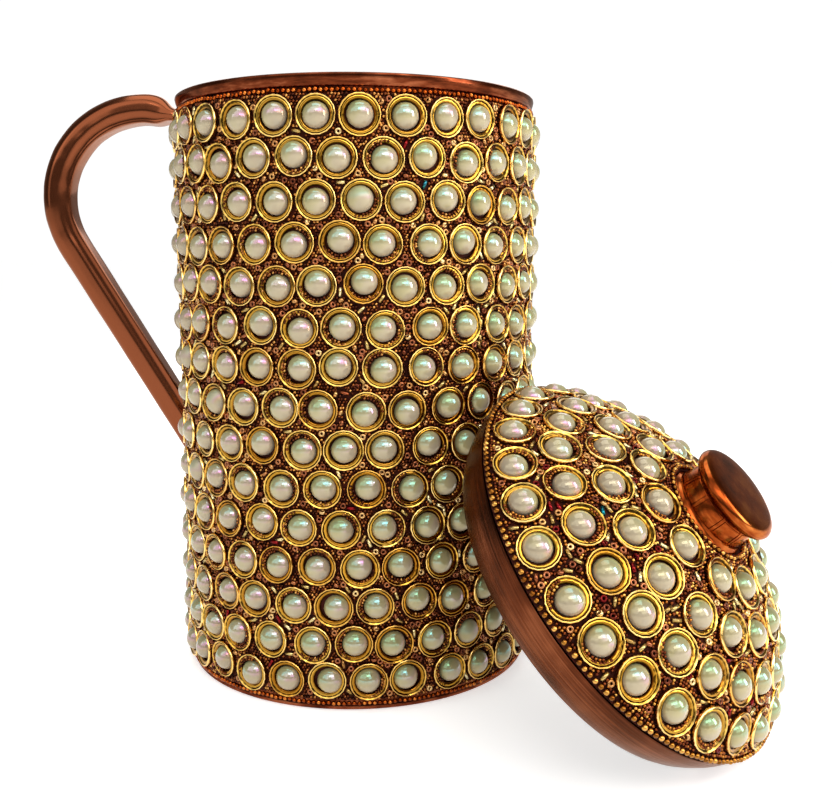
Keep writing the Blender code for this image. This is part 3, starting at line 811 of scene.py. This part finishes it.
# inner and outer are degrees from the knob
lidFill = {"spacing": 1.0, "inner": 11.6, "outer": 48.7, "beads": 320, "tries": 12000, "bugles": 0.5,
           "crescents": 0.6}
low, high = math.cos(math.radians(lidFill["inner"] + 1)), math.cos(math.radians(lidFill["outer"] - 0.8))
lidCandidates = []
for i in range(lidFill["tries"]):
    share = dice.random()
    lidCandidates.append(lidSpot(dice.uniform(0, fullTurn), math.acos(low + (high - low) * share),
                                 laying["beadRise"]))
lidBeads = strewBeads(lidCandidates, lidSettings, lidFill)
spots = []
polarStep = math.degrees(lidFill["spacing"] * laying["rowGap"] / lid["domeRadius"])
for i in range(int((lidFill["outer"] - lidFill["inner"]) / polarStep) + 1):
    polar = math.radians(lidFill["inner"] + i * polarStep)
    perRow = int(fullTurn * lid["domeRadius"] * math.sin(polar) / lidFill["spacing"])
    for j in range(perRow):
        spots.append(lidSpot(fullTurn * (j + 0.5 * (i % 2) + stray()) / perRow,
                             polar + stray() / lid["domeRadius"],
                             laying["rise"] + dice.uniform(*laying["riseSpan"]),
                             scale=dice.uniform(*laying["size"])))
spots = fillWithBalls(spots, lidSettings, lidBeads) + crescentBalls(lidSettings, lidFill["crescents"])
# the lid's filler balls take the brighter copy of the glass: painted light
finishPiece(copyTo("lid_filler_balls", fillerTemplate, spots, randomTones(spots)), lidFillerPaintedLighter,
            "lid", leaned=True)
seeds = [spot for spot, bugle in lidBeads if not bugle]
bugles = [spot for spot, bugle in lidBeads if bugle]
tones = [max(0, dice.uniform(-0.06, 1)) for s in seeds]
finishPiece(copyTo("lid_seed_beads", seedTemplate, seeds, tones), seedMaterial, "lid",
            leaned=True)
finishPiece(copyTo("lid_bugle_beads", bugleTemplate, bugles, randomTones(bugles)), bugleMaterial,
            "lid", leaned=True)
print("  balls", len(spots), "seed beads", len(seeds), "bugles", len(bugles))

# strings of larger balls: degrees from the knob, and pitch and rise in mm
strings = {"rise": 0.75, "slack": 0.0012, "vary": (0.93, 1.05),
           "lid_edge_beads": {"node": "lid_edge_strand", "polar": 49.6, "pitch": 1.95, "size": 1.15},
           "lid_knob_beads": {"node": "lid_knob_strand", "polar": 10.7, "pitch": 1.8, "size": 1.05}}
for name in ("lid_edge_beads", "lid_knob_beads"):
    string = strings[name]
    polar = math.radians(string["polar"])
    count = int(fullTurn * (lid["domeRadius"] + 0.8) * math.sin(polar) / string["pitch"])
    spots = [lidSpot(fullTurn * i / count, polar + dice.gauss(0, strings["slack"]), strings["rise"],
                     scale=string["size"] * dice.uniform(*strings["vary"])) for i in range(count)]
    finishPiece(copyTo(name, chainTemplate, spots, randomTones(spots)), goldBallMaterial, "lid",
                [string["node"]], leaned=True)


print("knob")
knobProfile = [(0, 52), (8, 51.98), (11.4, 51.85), (12.5, 51.6), (13.3, 51.15), (13.85, 50.5), (14.1, 49.8),
               (14.05, 49.1), (13.8, 48.5), (13.3, 48.0), (12.6, 47.7), (11.9, 47.55),
               (11.5, 47.3), (11.4, 46.9), (11.6, 46.4), (11.8, 45.6), (11.9, 44.4), (12.0, 43.0), (12.1, 41.8),
               (12.15, 41.2), (12.4, 40.8), (12.9, 40.5), (13.2, 40.2), (13.1, 39.9), (13.1, 39.55),
               (1.9, 39.55), (1.9, 45.6), (0, 45.6)]
# pressed panels round the neck, each framed by a groove
neck = {"panels": 10, "sides": 120, "low": 41.9, "high": 46.7, "outside": 10, "groove": 0.32,
        "grooveWidth": 0.25, "bevel": 0.12, "panelRise": 0.28}
knob = turnOnLathe("copper_knob", knobProfile, sides=neck["sides"])


def inPanel(centre, normal):
    column = math.floor(math.atan2(centre.y, centre.x) / fullTurn * neck["sides"])
    return (column % (neck["sides"] // neck["panels"]) > 0 and neck["low"] * mm < centre.z < neck["high"] * mm
            and math.hypot(centre.x, centre.y) > neck["outside"] * mm)


pickFaces(knob, inPanel)
for width, rise in ((neck["bevel"], -neck["groove"]), (neck["grooveWidth"], 0),
                    (neck["bevel"], neck["panelRise"])):
    bpy.ops.mesh.inset(thickness=width * mm, depth=rise * mm)
bpy.ops.object.mode_set(mode="OBJECT")
bpy.ops.object.shade_smooth_by_angle(angle=math.radians(32))
keepMadePlace(knob)
finishPiece(knob, knobCopper, "lid", ["knob"], leaned=True)

rivetProfile = [(0, 45.3), (1.6, 45.3), (1.6, 36.6), (3.5, 36.6), (3.45, 36.3), (3.1, 35.8), (2.4, 35.45),
                (1.5, 35.2), (0, 35.1)]
rivet = keepMadePlace(turnOnLathe("knob_rivet_head", rivetProfile, sides=32))
finishPiece(rivet, knobCopper, "lid", ["knob_rivet"], leaned=True)
washerProfile = [(1.9, 37.7), (5.8, 37.7), (6, 37.5), (6, 37.1), (5.8, 36.9), (1.9, 36.9)]
washer = keepMadePlace(turnOnLathe("knob_rivet_washer", washerProfile, sides=40, closed=True))
finishPiece(washer, panCopper, "lid", ["knob_washer"], leaned=True)

for template in (pearlTemplate, ringTemplate, fillerTemplate, chainTemplate, seedTemplate, bugleTemplate):
    bpy.data.objects.remove(template)


print("floor and light")
# metres; the strengths are of the light that falls on things, of the backdrop, of the window's two sides as
# polished things mirror them, and of the room round it
studio = {"floorRadius": 30, "floorDrop": 0.3 * mm, "floorGlow": 0.6, "aim": (0, 0, 0.09), "soft": 0.43,
          "backdrop": 1.05, "windowLeft": 1.4, "windowRight": 2.8, "person": (-0.08, -0.9, 0.36), "wall": 0.16,
          "ceiling": 0.6, "behind": 0.22}
deselectAll()
bpy.ops.mesh.primitive_circle_add(vertices=96, radius=studio["floorRadius"], fill_type="NGON",
                                  location=(0, 0, -studio["floorDrop"]))
floor = bpy.context.object
floor.name = "floor"
floorMaterial, tree, shader = newMaterial("matt white floor", Roughness=0.9)
shader.inputs["Base Color"].default_value = toLinear("#f2f2f1")
shader.inputs["Emission Color"].default_value = (1, 1, 1, 1)
shader.inputs["Emission Strength"].default_value = studio["floorGlow"]
floor.data.materials.append(floorMaterial)

lights = {
    "front": {"place": (0.2, -0.75, 0.75), "size": (0.8, 0.3), "power": 3.6, "colour": (1, 0.99, 0.97)},
    "left": {"place": (-0.85, -0.35, 0.45), "size": (0.3, 0.6), "power": 0.5, "colour": (0.95, 1, 1)},
    "right": {"place": (0.85, -0.4, 0.42), "size": (0.3, 0.6), "power": 4.8, "colour": (1, 0.97, 0.96)},
    "over": {"place": (0, 0.1, 1.1), "size": (0.8, 0.8), "power": 4.5, "colour": (1, 1, 1)},
    "behind": {"place": (0.1, 0.9, 0.6), "size": (0.9, 0.5), "power": 2.5, "colour": (1, 1, 1)},
}
for name, light in lights.items():
    data = bpy.data.lights.new(name, "AREA")
    data.shape = "RECTANGLE"
    data.size, data.size_y = light["size"]
    data.energy = light["power"]
    data.color = light["colour"]
    lamp = bpy.data.objects.new(name, data)
    lamp.location = light["place"]
    aim = Vector(studio["aim"]) - lamp.location
    lamp.rotation_euler = aim.to_track_quat("-Z", "Y").to_euler()
    bpy.context.scene.collection.objects.link(lamp)

# the backdrop is white; polished things mirror a dim room with one tall window in front, and the dark
# shape of whoever stands before it
world = bpy.data.worlds.new("studio")
bpy.context.scene.world = world
world.use_nodes = True
tree = world.node_tree
rays = addNode(tree, "LightPath")
room = tree.nodes["Background"]
room.inputs["Color"].default_value = (1, 1, 1, 1)
roomStrength = addNode(tree, "MapRange", {"Value": rays.outputs["Is Camera Ray"], "To Min": studio["soft"],
                                          "To Max": studio["backdrop"]})
tree.links.new(roomStrength.outputs[0], room.inputs["Strength"])
towards = addNode(tree, "TexCoord").outputs["Generated"]
axes = addNode(tree, "SeparateXYZ", {"Vector": towards})
band = setStops(addNode(tree, "ValToRGB", {"Fac": axes.outputs["Z"]}),
                [(0.0, 0.05), (0.27, 0.05), (0.31, 1.0), (0.85, 1.0), (0.93, 0.08)])
front = addNode(tree, "MapRange", {"Value": axes.outputs["Y"], "From Min": -0.22, "From Max": -0.34})
person = addNode(tree, "VectorMath", {0: towards, 1: studio["person"]}, operation="DISTANCE").outputs["Value"]
beside = addNode(tree, "MapRange", {"Value": person, "From Min": 0.2, "From Max": 0.27, "To Min": 0.15})
across = addNode(tree, "MapRange", {"Value": axes.outputs["X"], "From Min": -0.9, "From Max": 0.9,
                                    "To Min": studio["windowLeft"], "To Max": studio["windowRight"]})
window = band
for part in (front, beside, across):
    window = addNode(tree, "Math", {0: window, 1: part.outputs[0]}, operation="MULTIPLY").outputs[0]
ceiling = setStops(addNode(tree, "ValToRGB", {"Fac": axes.outputs["Z"]}),
                   [(0.0, studio["wall"]), (0.86, studio["wall"]), (1.0, studio["ceiling"])])
behind = addNode(tree, "MapRange", {"Value": axes.outputs["Y"], "From Min": 0.2, "From Max": 0.7,
                                    "To Max": studio["behind"]})
rest = addNode(tree, "Math", {0: ceiling, 1: behind.outputs[0]}, operation="ADD")
total = addNode(tree, "Math", {0: window, 1: rest.outputs[0]}, operation="ADD")
mirrored = addNode(tree, "Background", {"Color": (1, 1, 1, 1), "Strength": total.outputs[0]})
mix = addNode(tree, "MixShader", {0: rays.outputs["Is Glossy Ray"], 1: room.outputs[0],
                                  2: mirrored.outputs[0]})
tree.links.new(mix.outputs[0], tree.nodes["World Output"].inputs["Surface"])
